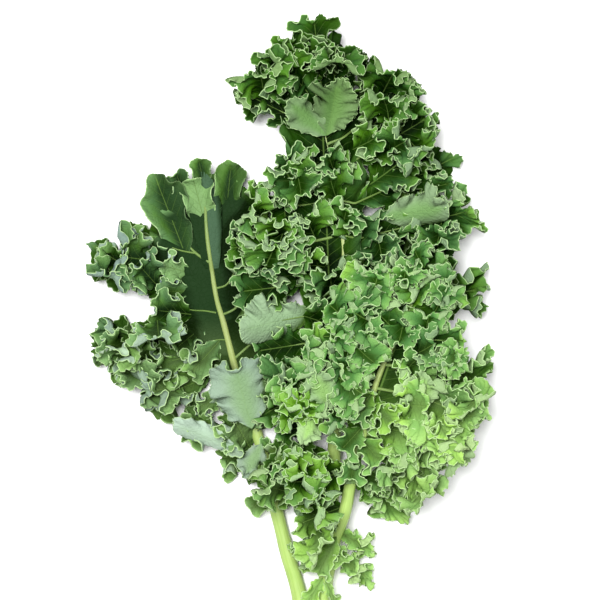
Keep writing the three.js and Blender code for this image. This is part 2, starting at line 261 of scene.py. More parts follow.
class Fan:
    # the smooth fan that a lobe or blade follows before its edge is frilled

    def __init__(self, root, row, seed, frill=1.0, fold=1.0, shade=0.0, side=0.0):
        tip = Vector(row[:3])
        self.root = root
        self.width, self.bend, self.cup, roll, self.low, self.high = row[3:]
        chord = tip - root
        half = self.bend / 2
        self.length = chord.length / (math.sin(half) / half)
        ahead = chord.normalized()
        above = (upward - ahead * ahead.z).normalized()
        above.rotate(Quaternion(ahead, math.radians(roll)))
        self.sideways = ahead.cross(above)
        self.forward = ahead * math.cos(half) - above * math.sin(half)
        self.above = above * math.cos(half) + ahead * math.sin(half)
        self.seed = seed
        self.turn = draw(3, seed) * 6.28
        edge = fanShape["edgeLength"] * (self.length + self.width)
        self.waves = max(4, math.floor(edge / (fanShape["edgeWave"] + 0.1 * self.length) + 0.5))
        self.depth = edge / self.waves * fanShape["foldDepth"] * fold
        self.frill = frill
        self.lobing = min(1.0, 0.15 + frill)
        self.shade = shade
        self.side = side

    def at(self, a, b):
        alpha = self.bend * a / self.length + 1e-6
        beta = self.cup * smoothStep(a, 0, 0.35 * self.length) * b / self.width + 1e-6
        lift = b * (1 - math.cos(beta)) / beta
        point = (self.root + self.forward * (a * math.sin(alpha) / alpha - lift * math.sin(alpha))
                 + self.above * (a * (1 - math.cos(alpha)) / alpha + lift * math.cos(alpha))
                 + self.sideways * (b * math.sin(beta) / beta))
        held = softMin(softMax(point.z, self.low + 0.5), self.high - 0.5)
        point.z += (held - point.z) * smoothStep(a, 0.05 * self.length, 0.3 * self.length)
        return point

    def edge(self, theta, v):
        # flat place between the vein and the edge
        k = abs(theta) / fanShape["spread"]
        rho = 1 + 0.12 * math.cos(5 * theta + self.turn) * (1 - k ** 4)
        edgeA = self.length * (0.4 + (0.06 + 0.47 * (1 + math.cos(theta)) - 0.4) * rho)
        edgeB = self.width * math.sin(theta) * (0.9 + 0.35 * math.cos(theta)) * rho
        veinA = self.length * fanShape["veinReach"] * (1 - k ** 1.25)
        return veinA + (edgeA - veinA) * v, edgeB * v


# frill, depth of the first folds and painted shade of the calmer lobes (below 0, painted light),
# 1, 1 and 0 for all others; the fourth value, 1 or -1, keeps the folds to one side of the vein
calm = {
    "Left": {"blade": (0.2, 0.25, 1.0), 0: (0.15, 0.5, 0.8), 1: (0.15, 0.7, 0.5), 2: (0.8, 1.2, 0.0),
             7: (0.5, 1.0, 0.0),
             "stalk": {2: (0.1, 0.4, 0.0), 3: (0.0, 0.15, 1.0), 4: (0.6, 0.5, 0.0)}},
    "Tall": {"blade": (0.5, 0.6, 0.7), 0: (0.6, 0.8, 0.6), 1: (0.7, 0.8, 0.5), 8: (0.8, 0.8, -0.6, -1),
             10: (0.5, 0.7, 0.6), "stalk": {}},
    "Front": {"blade": (0.5, 0.6, 0.5), "stalk": {}},
}


def leafFans(key, leaf):
    seed = leaf["seed"]
    row = leaf["blade"]
    own = calm[key]
    blade = Fan(Vector(row[:3]), row[3:], seed, *own["blade"])
    fans = [blade]
    for i, row in enumerate(leaf["lobes"]):
        root = blade.at(row[0] * blade.length, row[1] * blade.width)
        fans.append(Fan(root, row[3:], seed + 1 + i, *own.get(i, ())))
    for i, row in enumerate(leaf["stalkLobes"]):
        fans.append(Fan(ribAt(leaf["rib"], row[0]), row[1:], seed + 21 + i, *own["stalk"].get(i, ())))
    return fans


frills = {
    "columns": (84, 120, 176, 260),  # edge steps of the grids, from small curls to the blades
    "rows": 6, "toothSteps": 4, "toothPitch": 2.6, "thickness": 0.42,
    "inputs": {
        "Second wave": 10.0, "Second depth": 0.28, "Third wave": 4.8, "Third depth": 0.2,
        "Overhang": 0.16, "Tooth depth": 0.9, "Ruffle": 0.45,
    },
    "Left": {"Second wave": 13.0, "Second depth": 0.36, "Third wave": 6.0, "Third depth": 0.12,
             "Overhang": 0.2},
    "Tall": {"Second wave": 11.0, "Second depth": 0.31},
    "Front": {"Second wave": 11.0, "Second depth": 0.33},
}

# folded flaps, which a roll near 180 turns to their pale underside, and lobes that fill a bare spot:
# root, tip, half width, bend, cup, roll, lowest and highest z, then as in calm
flaps = {
    "Left": [
        ((-30, 93, 17), (-66, 108, 21), 7.5, -0.3, 0.8, 155, 8, 28, 0.5, 0.6, -0.6, -1),
        ((-20, 98, 15), (-28, 82, 20), 7, -0.3, 0.6, 180, 8, 28, 0.6, 0.6, 0.0),
        ((-42, 152, 9), (-58, 134, 15), 9, 0.4, 0.9, 0, 6, 24, 0.7, 1.0, 0.0),
        ((-42, 122, 11), (-54, 116, 13), 7, 0.4, 0.9, 0, 6, 22, 0.7, 1.0, 0.0),
        ((-50, 160, 8), (-66, 147, 12), 9, 0.4, 0.9, 0, 4, 22, 0.8, 1.0, 0.0),
        ((-60, 225, 12), (-65, 240, 15), 7, 0.4, 0.8, 0, 6, 20, 0.3, 0.8, 0.3),
        ((-25, 106, 20), (-34, 140, 27), 17, -0.3, 0.5, 180, 12, 30, 0.6, 0.5, 0.0),
        ((-48.5, 208, 11), (-56, 237, 17), 9.5, 0.3, 0.5, 0, 9, 24, 0.15, 0.7, -0.7),
        ((-50, 231, 14), (-53, 247, 18), 6.5, 0.4, 0.8, 0, 10, 22, 0.15, 0.6, 0.5),
        ((-57, 187, 9), (-72, 191, 18), 8, 0.5, 1.0, 0, 6, 26, 0.5, 1.1, -0.7),
        ((-57, 178, 9), (-75, 177, 17), 8, 0.5, 1.0, 0, 6, 26, 0.5, 1.1, -0.7),
    ],
    "Tall": [
        ((14, 258, 25), (19, 284, 37), 13, -0.5, 0.5, 172, 20, 44, 1.0, 0.6, 0.4),
        ((42, 215, 24), (76, 220, 34), 12, -0.3, 0.9, 208, 18, 42, 0.9, 1.0, 0.0, 1),
        ((24, 275, 22), (37, 283, 24), 7, 0.4, 0.9, 0, 14, 36, 0.9, 1.0, 0.3),
        ((66, 231, 20), (79, 234, 18), 7, 0.4, 0.9, 0, 8, 34, 0.9, 1.0, 0.0),
        ((14, 258, 24), (-5, 274, 34), 9, -0.4, 0.6, 188, 20, 44, 0.6, 0.5, 0.0),
    ],
    "Front": [
        ((16, 118, 38), (7, 135, 47), 10, -0.4, 0.5, 180, 34, 49, 0.7, 0.7, 0.0),
        ((10, 122, 36), (2, 101, 42), 6, -0.3, 0.5, 180, 30, 49, 0.6, 0.7, 0.0),
        ((60, 117, 38), (63, 134, 46), 11, -0.5, 0.4, 180, 34, 49, 0.8, 0.7, 0.0),
        ((68, 102, 36), (84, 90, 41), 10, -0.4, 0.6, 180, 28, 48, 0.7, 0.7, 0.0),
        ((28, 78, 26), (24, 88, 34), 8, -0.4, 0.6, 180, 22, 44, 0.7, 0.8, 0.0),
    ],
}

# small leaflets over the stalks, as the flaps up to the highest z
leaflets = {
    "Left": [],
    "Tall": [
        ((16, 88, 13), (4, 80, 20), 8, 0.4, 0.9, 10, 8, 26),
        ((16, 84, 12), (27, 74, 18), 7, 0.4, 0.9, -10, 8, 26),
    ],
    "Front": [
        ((37, 126, 36), (26, 112, 45), 8, 0.5, 0.9, 10, 30, 48),
        ((36, 120, 35), (48, 110, 44), 8, 0.5, 0.9, -10, 30, 48),
        ((32, 108, 32), (20, 96, 41), 9, 0.5, 0.9, 10, 26, 48),
        ((31, 102, 31), (42, 90, 38), 9, 0.5, 0.9, -10, 26, 46),
        ((28, 94, 29), (26, 80, 37), 7, 0.6, 0.9, 0, 24, 44),
        ((9, 110, 26), (-12, 104, 27), 8, 0.4, 0.9, 0, 18, 42),
        ((19, 50, 18), (9, 30, 22), 7, 0.4, 0.9, 10, 12, 28),
        ((18, 46, 17), (22, 35, 20), 5, 0.4, 0.9, -10, 10, 28),
        ((12, 28, 16), (3, 14, 18), 5, 0.4, 0.9, 10, 10, 24),
        ((13, 27, 16), (19, 14, 17), 3, 0.3, 0.7, 0, 10, 24),
    ],
}

# curls that stand on the lobes. most: how many. apart: how far. bare: where none is rooted, and
# clear: where none ends either, as x, y, radius x, radius y
curls = {
    "length": (16.0, 26.0), "width": (0.5, 0.78), "lift": (10, 60), "turn": 55, "roll": 35,
    "bend": (0.1, 1.1), "cup": (0.4, 1.2),
    "clear": [
        (-47.5, 190, 26, 38), (-29, 148, 19, 22), (-10, 262, 14, 12), (-72, 219, 15, 25), (-20, 160, 22, 20),
        (6, 297, 13, 10), (-26, 232, 8, 9), (-33, 287, 8, 8), (38, 291, 6, 11), (80, 207, 8, 7),
        (86, 169, 8, 6)],
    "Left": {"most": 46, "apart": 12.5, "seed": 5, "bare": [(-35, 185, 30, 60), (0, 180, 26, 90)]},
    "Tall": {"most": 96, "apart": 12.6, "seed": 6,
             "bare": [(45, 118, 42, 52), (18, 60, 12, 60), (10, 308, 10, 16), (30, 294, 8, 13)]},
    "Front": {"most": 90, "apart": 11.0, "seed": 7, "bare": [(22, 40, 14, 42)]},
}


def footprint(fan, part=1.0):
    # outline of the fan seen from above
    places = [fan.at(*fan.edge(fanShape["spread"] * (i / 12 - 1), part)) for i in range(25)]
    return [(p.x, p.y) for p in places]


def inside(point, outline):
    found = False
    for (x1, y1), (x2, y2) in zip(outline, outline[1:] + outline[:1]):
        if (y1 > point.y) != (y2 > point.y) and point.x < x1 + (x2 - x1) * (point.y - y1) / (y2 - y1):
            found = not found
    return found


def within(point, ovals):
    return any(((point.x - x) / rx) ** 2 + ((point.y - y) / ry) ** 2 < 1 for x, y, rx, ry in ovals)


def curlFans(key, fans, footprints, flapPrints):
    # small lobes rooted on the larger ones, spaced apart, each looking outward and up
    own = curls[key]
    chance = random.Random(own["seed"])
    weights = [f.length * f.width for f in fans]
    roots, grown = [], []
    for trial in range(12000):
        if len(grown) >= own["most"]:
            break
        fan = chance.choices(fans, weights)[0]
        theta = chance.uniform(-0.85, 0.85) * fanShape["spread"]
        v = chance.uniform(0.02, 0.86)
        a, b = fan.edge(theta, v)
        a2, b2 = fan.edge(theta, v + 0.1)
        root = fan.at(a, b)
        outward = (fan.at(a2, b2) - root).normalized()
        normal = (fan.at(a, b + 1) - root).cross(fan.at(a + 1, b) - root).normalized()
        if normal.z < 0:
            normal = -normal
        turn = 180 if v < 0.2 else curls["turn"]
        outward.rotate(Quaternion(normal, math.radians(chance.uniform(-1, 1) * turn)))
        lift = math.radians(chance.uniform(*curls["lift"]))
        length = chance.uniform(*curls["length"])
        width = length * chance.uniform(*curls["width"])
        ahead = outward * math.cos(lift) + normal * math.sin(lift)
        tip = root + ahead * length
        tip.z = min(tip.z, bench["ceiling"] - 1)
        roll = chance.uniform(-1, 1) * curls["roll"]
        row = (*tip, width, min(chance.uniform(*curls["bend"]), 1.35 - lift), chance.uniform(*curls["cup"]),
               roll, max(0.4, root.z - 3), min(bench["ceiling"], root.z + 4 + length))
        if within(root, own["bare"] + curls["clear"]) or within(tip, curls["clear"]):
            continue
        if any((root - other).length < own["apart"] for other in roots):
            continue
        curl = Fan(root, row, own["seed"] * 1000 + len(grown))
        ends = [curl.at(part * curl.length, side * width) for part, side in ((1, 0), (0.6, 0.9), (0.6, -0.9))]
        if not all(any(inside(end, outline) for outline in footprints) for end in ends):
            continue
        if any(inside(spot, outline) and (spot - flap.root).length > 0.22 * flap.length
               for spot in [root, tip] + ends for flap, outline in flapPrints):
            continue
        roots.append(root)
        grown.append(curl)
    return grown


def frillTree(material):
    # every point of the incoming mesh becomes a lobe: a grid bent to its fan, folded twice and toothed
    board = Board(bpy.data.node_groups.new("frilled lobes", "GeometryNodeTree"))
    read, keep, put = board.read, board.keep, board.put
    points = board.entry("Lobes")
    rows = board.entry("Rows", frills["rows"])
    wave, depth, thirdWave, thirdDepth, overhang, tooth, ruffle = [
        board.entry(name, value) for name, value in frills["inputs"].items()]
    columnInputs = [board.entry(f"Columns {k}", n) for k, n in enumerate(frills["columns"])]

    def elsewhere(value, index, kind="FLOAT_VECTOR"):
        settings = {"data_type": kind, "domain": "POINT"}
        return board.add("GeometryNodeFieldAtIndex", settings, {"Value": value, "Index": index})

    def cos(x):
        return board.sum("COSINE", x)

    def sin(x):
        return board.sum("SINE", x)

    def length(v):
        return board.add("ShaderNodeVectorMath", {"operation": "LENGTH"}, {0: v}, "Value")

    def unit(v):
        return board.add("ShaderNodeVectorMath", {"operation": "NORMALIZE"}, {0: v})

    def held(value, low, high, soft):
        lifted = 0.5 * (value + low + board.sum("SQRT", (value - low) ** 2.0 + soft * soft))
        return 0.5 * (lifted + high - board.sum("SQRT", (lifted - high) ** 2.0 + soft * soft))

    def chance(x, salt):
        vector = board.join(x, read("lobeSeed") + salt, 0.0)
        return board.add("ShaderNodeTexWhiteNoise", {"noise_dimensions": "2D"}, {"Vector": vector}, "Value")

    def wander(x, salt):
        vector = board.join(x, read("lobeSeed") * 3.7 + salt, 0.0)
        sockets = {"Vector": vector, "Scale": 1.0, "Detail": 0.0}
        return board.add("ShaderNodeTexNoise", {"noise_dimensions": "2D"}, sockets, "Fac") * 2.0 - 1.0

    position = board.add("GeometryNodeInputPosition")
    normal = board.add("GeometryNodeInputNormal")
    index = board.add("GeometryNodeInputIndex")
    stride = rows + 1.0

    sheets = []
    for size, columns in enumerate(columnInputs):
        sockets = {"Size X": 1.0, "Size Y": 1.0, "Vertices X": columns + 1.0, "Vertices Y": stride}
        grid = board.add("GeometryNodeMeshGrid", None, sockets, "Mesh")
        x, y, z = board.split(position)
        grid = keep(grid, "lobeU", x + 0.5)
        grid = keep(grid, "lobeRow", y + 0.5)
        grid = keep(grid, "lobeColumn", (x + 0.5) * columns)
        chosen = board.add("FunctionNodeCompare", {"data_type": "FLOAT", "operation": "EQUAL"},
                           {0: read("lobeSize"), 1: float(size), 2: 0.1})
        sheets.append(board.add("GeometryNodeInstanceOnPoints", None,
                                {"Points": points, "Selection": chosen, "Instance": grid}))
    geometry = board.add("GeometryNodeJoinGeometry", None, {0: sheets})
    geometry = board.add("GeometryNodeRealizeInstances", None, {0: geometry})

    root, forward, above, sideways = [
        read("lobe" + key, "FLOAT_VECTOR") for key in ("Root", "Forward", "Above", "Sideways")]
    reachLength, width, bend, cup, turn, low, high, waves, foldDepth, frill = [
        read("lobe" + key) for key in "Length Width Bend Cup Turn Low High Waves Depth Frill".split()]
    m = read("lobeU") * 2.0 - 1.0
    v = 1.0 - (1.0 - read("lobeRow")) ** 1.5
    spread = fanShape["spread"]
    theta = spread * m * (0.8 + 0.2 * m * m)
    k = abs(theta) / spread
    oneSide = read("lobeSide")
    sided = 1.0 - abs(oneSide) * (1.0 - board.smooth(oneSide * sin(theta), -0.1, 0.5))
    lobing = 0.12 * cos(5.0 * theta + turn) + 0.05 * cos(13.0 * theta + turn * 3.0)
    lobing = lobing * read("lobeLobing") * sided
    rho = 1.0 + lobing * (1.0 - k ** 4.0)
    edgeA = reachLength * (0.4 + (0.06 + 0.47 * (1.0 + cos(theta)) - 0.4) * rho)
    edgeB = width * sin(theta) * (0.9 + 0.35 * cos(theta)) * rho
    veinA = reachLength * fanShape["veinReach"] * (1.0 - k ** 1.25)
    a = veinA + (edgeA - veinA) * v
    b = edgeB * v
    reach = board.sum("SQRT", (edgeA - veinA) * (edgeA - veinA) + edgeB * edgeB)

    alpha = bend * a / reachLength + 1e-4
    beta = cup * board.smooth(a, 0.0, 0.35 * reachLength) * b / width + 1e-4
    lift = b * (1.0 - cos(beta)) / beta
    point = (root + forward * (a * sin(alpha) / alpha - lift * sin(alpha))
             + above * (a * (1.0 - cos(alpha)) / alpha + lift * cos(alpha))
             + sideways * (b * sin(beta) / beta))
    px, py, pz = board.split(point)
    away = board.smooth(a, 0.05 * reachLength, 0.3 * reachLength)
    pz = pz + (held(pz, low + 0.5, high - 0.5, fanShape["softness"]) - pz) * away
    geometry = put(geometry, Position=board.join(px, py, pz))
    marks = {"across": v, "flatA": a, "flatB": b / width, "tone": read("lobeTone"), "shade": read("lobeShade")}
    for name, value in marks.items():
        geometry = keep(geometry, name, value)

    def along():
        # direction along the edge, from the neighbours in the next columns
        before = elsewhere(position, index - stride * board.sum("GREATER_THAN", read("lobeU"), 0.0001))
        after = elsewhere(position, index + stride * board.sum("LESS_THAN", read("lobeU"), 0.9999))
        return unit(after - before)

    def edgeRun():
        # length of the edge up to this column, in millimetres
        rowIndex = board.sum("ROUND", read("lobeRow") * rows)
        after = elsewhere(position, index + stride * board.sum("LESS_THAN", read("lobeU"), 0.9999))
        sockets = {"Value": length(after - position), "Group ID": read("lobeNumber") * 32.0 + rowIndex}
        settings = {"data_type": "FLOAT", "domain": "POINT"}
        run = board.add("GeometryNodeAccumulateField", settings, sockets, "Trailing")
        return elsewhere(run, index + rows - rowIndex, "FLOAT")

    # first folds, as wide as the solid's
    ends = board.smooth(spread - abs(theta), 0.15, 1.2)
    phase = math.pi * waves * (theta / spread + 1.0)
    turnIndex = board.sum("ROUND", phase / math.pi)
    height = board.sum("MINIMUM", (0.7 + 0.5 * chance(turnIndex, 0.37)) * foldDepth, 0.45 * reach)
    fold = board.smooth(v, 0.2, 1.0) * ends * height * sided
    side = along() * (fold * sin(2.0 * phase) * overhang)
    geometry = put(geometry, Offset=normal * (fold * cos(phase)) + side)
    x, y, z = board.split(position)
    beyond = board.smooth(a, 0.1 * reachLength, 0.3 * reachLength)
    z = z + (held(z, low + 0.5, high - 0.5, 0.8) - z) * beyond
    geometry = put(geometry, Position=board.join(x, y, z))

    # second and third folds, each about half as wide as the one before
    ends = board.smooth(spread - abs(theta), 0.05, 0.5)
    for step, (breadth, rise, start) in enumerate([(wave, depth, 0.3), (thirdWave, thirdDepth, 0.66)]):
        geometry = keep(geometry, "lobeRun", edgeRun())
        run = read("lobeRun")
        drift = 3.0 * wander(run / (breadth * 2.0), 0.5 + step)
        phase = run * 6.2832 / breadth + drift + 6.28 * chance(step, 0.71)
        swell = 1.0 + 0.9 * wander(run / (breadth * 1.6), 40.5 + step)
        begin = start + (1.0 - start) * 0.5 * board.sum("MAXIMUM", 1.0 - frill, 0.0)
        fold = board.smooth(v, begin, 1.0) * ends * swell * breadth * rise * sided * frill ** (1.0 + step)
        fold = board.sum("MINIMUM", fold, 0.4 * reach)
        side = along() * (fold * sin(2.0 * phase) * overhang)
        geometry = put(geometry, Offset=normal * (fold * sin(phase)) - side)

    # teeth and a last ruffle
    toothPhase = read("lobeColumn") / float(frills["toothSteps"])
    toothIndex = board.sum("ROUND", toothPhase)
    outward = unit(position - elsewhere(position, index - 1.0))
    point = 0.5 + 0.5 * cos(6.2832 * toothPhase)
    last = board.smooth(v, 0.93, 1.0) * ends
    ruffled = board.smooth(v, 0.6, 1.0) * ends * ruffle * (chance(toothIndex, 0.11) * 2.0 - 1.0) * point
    calmer = board.sum("MINIMUM", frill * 1.3, 1.0)
    outward = outward * (last * point * tooth * calmer * sided * (0.4 + 1.2 * chance(toothIndex, 0.23)))
    geometry = put(geometry, Offset=outward + normal * ruffled)

    lastRow = index + rows - board.sum("ROUND", read("lobeRow") * rows)
    geometry = keep(geometry, "rimMm", length(elsewhere(position, lastRow) - position))

    x, y, z = board.split(position)
    # heights over the crest are pressed together so that none passes the ceiling
    room = bench["ceiling"] - bench["crest"]
    over = board.sum("MAXIMUM", z - bench["crest"], 0.0)
    z = held(z, bench["floor"], bench["crest"], 0.05) + room * (1.0 - board.sum("EXPONENT", over / -room))
    geometry = put(geometry, Position=board.join(x, y, z))
    vein = board.sum("LESS_THAN", v, 0.001)
    sockets = {"Geometry": geometry, "Selection": vein, "Distance": 0.01}
    geometry = board.add("GeometryNodeMergeByDistance", None, sockets)
    sockets = {"Geometry": geometry, "Name": "lobe*"}
    geometry = board.add("GeometryNodeRemoveAttribute", {"pattern_mode": "WILDCARD"}, sockets)
    return board.finish(geometry, position, material)


def linked(name, data):
    thing = bpy.data.objects.new(name, data)
    bpy.context.scene.collection.objects.link(thing)
    return thing


def plain(name, holder):
    # the object's mesh with its modifiers' work in it
    graph = bpy.context.evaluated_depsgraph_get()
    mesh = bpy.data.meshes.new_from_object(
        holder.evaluated_get(graph), preserve_all_data_layers=True, depsgraph=graph)
    mesh.name = name
    return mesh


def evaluated(name, mesh, tree, values=None):
    # the tree's result on that mesh, as a plain mesh
    holder = linked(name, mesh)
    modifier = holder.modifiers.new(name, "NODES")
    modifier.node_group = tree
    for item in tree.interface.items_tree:
        if item.in_out == "INPUT" and item.name in (values or {}):
            modifier[item.identifier] = values[item.name]
    result = plain(name, holder)
    bpy.data.objects.remove(holder)
    return result


def pointMesh(name, fans):
    # one point for each fan, with what the tree needs to know of it
    mesh = bpy.data.meshes.new(name)
    mesh.from_pydata([f.root for f in fans], [], [])
    steps = frills["columns"]
    sizes = []
    for f in fans:
        edge = fanShape["edgeLength"] * 1.35 * (f.length + f.width)
        wanted = edge / frills["toothPitch"] * frills["toothSteps"]
        sizes.append(min(range(len(steps)), key=lambda k: abs(steps[k] - wanted)))
    numbers = {"Number": range(len(fans)), "Size": sizes, "Tone": [draw(7, f.seed) for f in fans]}
    for key in ("seed", "length", "width", "bend", "cup", "turn", "low", "high", "waves", "depth", "frill",
                "shade", "lobing", "side"):
        numbers[key.capitalize()] = [getattr(f, key) for f in fans]
    vectors = {}
    for key in ("root", "forward", "above", "sideways"):
        vectors[key.capitalize()] = [getattr(f, key) for f in fans]
    for key, values in numbers.items():
        layer = mesh.attributes.new("lobe" + key, "FLOAT", "POINT")
        layer.data.foreach_set("value", np.array(list(values), dtype=np.float32))
    for key, values in vectors.items():
        layer = mesh.attributes.new("lobe" + key, "FLOAT_VECTOR", "POINT")
        layer.data.foreach_set("vector", np.array([tuple(v) for v in values], dtype=np.float32).ravel())
    return mesh


def sheetPiece(name, fans, tree, top, under, values):
    # the frilled lobes of those fans as one piece with a real thickness
    mesh = evaluated(name, pointMesh(name + "Points", fans), tree, values)
    mesh.materials.append(under)
    piece = linked(name, mesh)
    wall = piece.modifiers.new("thickness", "SOLIDIFY")
    wall.thickness = frills["thickness"] * mm
    wall.offset = 0
    wall.material_offset = 1
    wall.material_offset_rim = 0
    thick = plain(name, piece)
    piece.modifiers.clear()
    piece.data = thick
    print(name, "triangles", sum(len(p.vertices) - 2 for p in thick.polygons))
    return piece


stalks = {
    "inputs": {"Step": 1.6, "Sides": 18, "Groove": 0.16, "Unevenness": 0.05},
    "sideVein": 0.85, "veinRise": 0.05, "sink": {"Left": 0.25, "Tall": 0.65, "Front": 0.65},
    "bareFrom": {"Left": 118, "Tall": 126, "Front": 96},  # y where the stalk becomes a midrib on the blade
    "bladeVeins": [  # veins of the smooth left blade: radius at the midrib, then x, y
        (0.8, [(-47.5, 192.8), (-54.6, 197.5), (-60.8, 204.2), (-66.6, 213.6), (-72.8, 225), (-78, 232.8)]),
        (0.5, [(-54.6, 197.5), (-66, 200), (-78, 206)]),
        (0.5, [(-44.2, 166.3), (-50, 167.3), (-57.2, 167.8), (-67.6, 170.4)]),
        (0.4, [(-38.8, 152), (-44, 152), (-50, 150)]),
        (0.6, [(-44.2, 179.2), (-39, 180.8), (-35.4, 186), (-32.8, 192.8)]),
        (0.7, [(-41, 165.2), (-33.8, 168.8), (-26, 178.2), (-21.8, 183.4)]),
        (0.75, [(-34.8, 141.8), (-26, 149.6), (-19.8, 153.2), (-13, 152.2)]),
    ],
}


def stalkTree(material):
    # polylines with a radius become grooved stalks, midribs and veins
    board = Board(bpy.data.node_groups.new("stalks and veins", "GeometryNodeTree"))
    lines = board.entry("Lines")
    step, sides, groove, uneven = [board.entry(name, value) for name, value in stalks["inputs"].items()]
    position = board.add("GeometryNodeInputPosition")
    curve = board.add("GeometryNodeMeshToCurve", None, {"Mesh": lines})
    curve = board.add("GeometryNodeCurveSplineType", {"spline_type": "CATMULL_ROM"}, {"Curve": curve})
    curve = board.add("GeometryNodeResampleCurve", {"mode": "LENGTH"}, {"Curve": curve, "Length": step})
    radius = board.read("girth")
    noise = board.add("ShaderNodeTexNoise", None, {"Vector": position, "Scale": 0.09, "Detail": 1.0}, "Fac")
    curve = board.add("GeometryNodeSetCurveNormal", {"mode": "Z_UP"}, {"Curve": curve})
    curve = board.keep(curve, "along", board.add("GeometryNodeSplineParameter", None, None, "Length"))
    sockets = {"Resolution": sides, "Radius": 1.0}
    ring = board.add("GeometryNodeCurvePrimitiveCircle", {"mode": "RADIUS"}, sockets)
    x, y, z = board.split(position)
    around = board.sum("ARCTAN2", y, x)
    dent = 1.0 - groove * board.smooth(y, 0.45, 1.0) + 0.04 * board.sum("COSINE", 9.0 * around)
    ring = board.keep(board.put(ring, Position=position * dent), "around", around)
    girth = radius * (1.0 + uneven * (noise * 4.0 - 2.0))
    sockets = {"Curve": curve, "Profile Curve": ring, "Scale": girth, "Fill Caps": True}
    mesh = board.add("GeometryNodeCurveToMesh", None, sockets)
    x, y, z = board.split(position)
    mesh = board.put(mesh, Position=board.join(x, y, board.sum("MAXIMUM", z, bench["trim"] + 0.02)))
    return board.finish(mesh, position, material)


def lineMesh(name, lines):
    # polylines given as lists of (point, radius)
    mesh = bpy.data.meshes.new(name)
    points, edges, radii = [], [], []
    for line in lines:
        edges += [(len(points) + i, len(points) + i + 1) for i in range(len(line) - 1)]
        points += [tuple(point) for point, radius in line]
        radii += [radius for point, radius in line]
    mesh.from_pydata(points, edges, [])
    layer = mesh.attributes.new("girth", "FLOAT", "POINT")
    layer.data.foreach_set("value", np.array(radii, dtype=np.float32))
    return mesh


def heightOver(fans, tree):
    # height of the frilled surface of those fans over the bench, for any x and y
    mesh = evaluated("surface", pointMesh("surfacePoints", fans), tree)
    points = [v.co.copy() for v in mesh.vertices]
    surface = BVHTree.FromPolygons(points, [tuple(p.vertices) for p in mesh.polygons])

    def height(x, y):
        start = Vector(((x - bench["middle"][0]) * mm, (y - bench["middle"][1]) * mm, 0.2))
        hit = surface.ray_cast(start, -upward)[0]
        return hit.z / mm + bench["trim"] if hit else None

    return height


def stalkLines(key, leaf, fans, tree):
    # stalk with its midrib and side veins; the veins follow the surface of the leaf
    rib = leaf["rib"]
    lobeCount = len(leaf["lobes"])
    height = heightOver(fans[:1 + lobeCount] if key != "Left" else [fans[0], fans[lobeCount + 4]], tree)

    def laid(x, y, z, radius, sink):
        top = height(x, y)
        return (Vector((x, y, z if top is None else max(z, top - sink))), radius)

    lines = [[]]
    for i in range(4 * len(rib) - 3):
        w = i / 4 - i // 4
        near, far = rib[i // 4], rib[min(i // 4 + 1, len(rib) - 1)]
        y, radius = [near[k] * (1 - w) + far[k] * w for k in (1, 3)]
        point = ribAt(rib, y)
        if y > stalks["bareFrom"][key]:
            lines[0].append(laid(*point, radius * 0.8, radius * stalks["sink"][key]))
        else:
            lines[0].append((point, radius))
    if key == "Left":
        for radius, places in stalks["bladeVeins"]:
            line = []
            for i, (x, y) in enumerate(places):
                z = height(x, y)
                if z is not None:
                    place = Vector((x, y, z + stalks["veinRise"]))
                    line.append((place, radius * (1 - 0.75 * i / len(places))))
            if len(line) > 1:
                lines.append(line)
        return lines
    for row, fan in zip(leaf["lobes"], fans[1:]):
        ends = [ribAt(rib, row[2]), fan.root, fan.at(0.45 * fan.length, 0)]
        line = []
        for k in range(9):
            spot = ends[0].lerp(ends[1], k / 4) if k < 4 else ends[1].lerp(ends[2], k / 4 - 1)
            line.append(laid(*spot, stalks["sideVein"] * (1 - 0.085 * k), 0.25))
        lines.append(line)
    return lines


# low: how far the painted light on the low part near the stalks goes, over which y and x in metres
finishes = {
    # inner: painted shade near the veins and roots; outer: paler edges, partly the leaf's own margin and
    # partly painted highlight
    "Left": {
        "inner": (0.01, 0.029, 0.008), "middle": (0.05, 0.12, 0.025), "outer": (0.15, 0.27, 0.11),
        "warm": (0.062, 0.163, 0.014), "cool": (0.062, 0.143, 0.076), "under": (0.22, 0.31, 0.245),
        "strip": (0.048, 0.098, 0.053), "low": 0.5, "lowRange": (0.01, -0.035), "lowAcross": (-1, -0.9)},
    "Tall": {
        "inner": (0.008, 0.031, 0.001), "middle": (0.035, 0.107, 0.008), "outer": (0.125, 0.26, 0.07),
        "warm": (0.07, 0.194, 0.004), "cool": (0.044, 0.128, 0.052), "under": (0.2, 0.3, 0.16),
        "strip": (0.11, 0.2, 0.06), "low": 0.45, "lowRange": (0.0, -0.13), "lowAcross": (-1, -0.9)},
    "Front": {
        "inner": (0.008, 0.034, 0.001), "middle": (0.045, 0.135, 0.009), "outer": (0.195, 0.36, 0.09),
        "warm": (0.106, 0.265, 0.004), "cool": (0.062, 0.184, 0.071), "under": (0.22, 0.34, 0.165),
        "strip": (0.2, 0.33, 0.17), "low": 1.0, "lowRange": (0.0, -0.07), "lowAcross": (0.02, 0.07)},
    "edge": (0.42, 0.59, 0.28), "edgeWidth": (0.06, 0.4), "edgeStrength": 0.78,
    "veinColour": (0.14, 0.25, 0.05), "roughness": 0.6, "gloss": 0.03,
    # bright and litLime: the painted light of the low part
    "bright": (2.0, 1.75, 1.5), "litLime": (0.31, 0.46, 0.165), "foot": (-0.085, -0.125),
    # sunk: the colour of the painted shade in the hollows
    "top": (0.6, 0.69, 0.48), "sunk": (0.22, 0.32, 0.08), "sunkRange": (0.0, 0.6),
    "stalkLow": (0.31, 0.46, 0.108), "stalkHigh": (0.27, 0.34, 0.1), "vein": (0.13, 0.22, 0.045),
}


